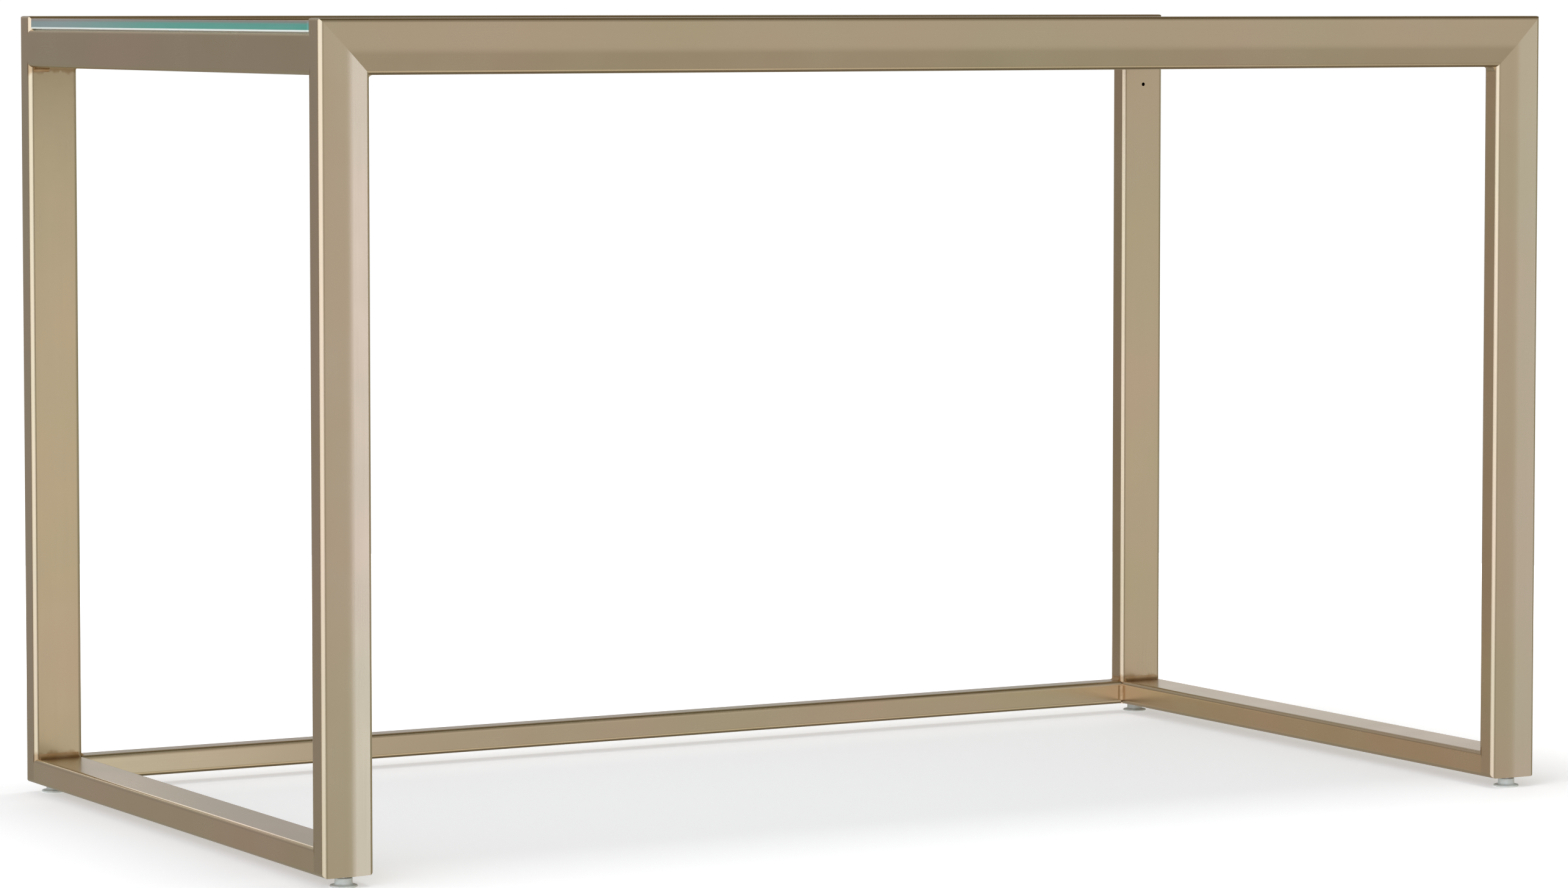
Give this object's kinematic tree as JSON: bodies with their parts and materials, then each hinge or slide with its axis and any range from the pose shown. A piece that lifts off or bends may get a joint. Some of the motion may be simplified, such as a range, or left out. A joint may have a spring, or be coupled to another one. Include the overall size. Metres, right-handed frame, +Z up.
{
  "type": "glass-topped metal desk",
  "caption": "Champagne metal-tube desk with an inset clear glass top, open at the front, with bottom side and back stretchers and screw-in levelling feet.",
  "frame": {"origin": "middle of the footprint, on the floor under the four levelling pads", "axes": "+X across the width from left to right, +Y from the open front to the back, +Z up"},
  "size_m": [1.32, 0.7, 0.764],
  "materials": {
    "champagne_steel": "satin champagne gold over steel tube",
    "clear_glass": "clear toughened glass, polished edges that look sea green",
    "clear_rubber": "clear soft bumper",
    "grey_nylon": "pale grey moulded nylon",
    "zinc_steel": "bright zinc plating"
  },
  "bodies": {
    "frame": {"leg_front_left": "champagne_steel", "leg_front_right": "champagne_steel", "leg_back_left": "champagne_steel", "leg_back_right": "champagne_steel", "front_rail": "champagne_steel", "back_rail": "champagne_steel", "side_rail_left": "champagne_steel", "side_rail_right": "champagne_steel", "stretcher_left": "champagne_steel", "stretcher_right": "champagne_steel", "stretcher_back": "champagne_steel", "weld_fillets": "champagne_steel", "glass_tabs": "champagne_steel", "foot_plates": "champagne_steel", "glass_bumpers": "clear_rubber", "weld_nuts": "zinc_steel"},
    "glass": {"glass_top": "clear_glass"},
    "pad_front_left": {"foot_pad_front_left": "grey_nylon"},
    "stud_front_left": {"foot_stud_front_left": "zinc_steel"},
    "pad_front_right": {"foot_pad_front_right": "grey_nylon"},
    "stud_front_right": {"foot_stud_front_right": "zinc_steel"},
    "pad_back_left": {"foot_pad_back_left": "grey_nylon"},
    "stud_back_left": {"foot_stud_back_left": "zinc_steel"},
    "pad_back_right": {"foot_pad_back_right": "grey_nylon"},
    "stud_back_right": {"foot_stud_back_right": "zinc_steel"}
  },
  "joints": [
    {"name": "glass_lift", "type": "slide", "parent": "frame", "child": "glass", "axis": [0, 0, 1], "range_m": [0, 0.3]},
    {"name": "foot_drop_front_left", "type": "slide", "parent": "frame", "child": "pad_front_left", "axis": [0, 0, -1], "range_m": [0, 0.01]},
    {"name": "stud_turn_front_left", "type": "hinge", "parent": "pad_front_left", "child": "stud_front_left", "pos_m": [-0.635, -0.3375, 0], "axis": [0, 0, -1], "range_deg": [0, 2880]},
    {"name": "foot_drop_front_right", "type": "slide", "parent": "frame", "child": "pad_front_right", "axis": [0, 0, -1], "range_m": [0, 0.01]},
    {"name": "stud_turn_front_right", "type": "hinge", "parent": "pad_front_right", "child": "stud_front_right", "pos_m": [0.635, -0.3375, 0], "axis": [0, 0, -1], "range_deg": [0, 2880]},
    {"name": "foot_drop_back_left", "type": "slide", "parent": "frame", "child": "pad_back_left", "axis": [0, 0, -1], "range_m": [0, 0.01]},
    {"name": "stud_turn_back_left", "type": "hinge", "parent": "pad_back_left", "child": "stud_back_left", "pos_m": [-0.635, 0.3375, 0], "axis": [0, 0, -1], "range_deg": [0, 2880]},
    {"name": "foot_drop_back_right", "type": "slide", "parent": "frame", "child": "pad_back_right", "axis": [0, 0, -1], "range_m": [0, 0.01]},
    {"name": "stud_turn_back_right", "type": "hinge", "parent": "pad_back_right", "child": "stud_back_right", "pos_m": [0.635, 0.3375, 0], "axis": [0, 0, -1], "range_deg": [0, 2880]}
  ],
  "couplings": [
    {"joint": "stud_turn_front_left", "follows": "foot_drop_front_left", "rad_per_m": 5026.5},
    {"joint": "stud_turn_front_right", "follows": "foot_drop_front_right", "rad_per_m": 5026.5},
    {"joint": "stud_turn_back_left", "follows": "foot_drop_back_left", "rad_per_m": 5026.5},
    {"joint": "stud_turn_back_right", "follows": "foot_drop_back_right", "rad_per_m": 5026.5}
  ]
}
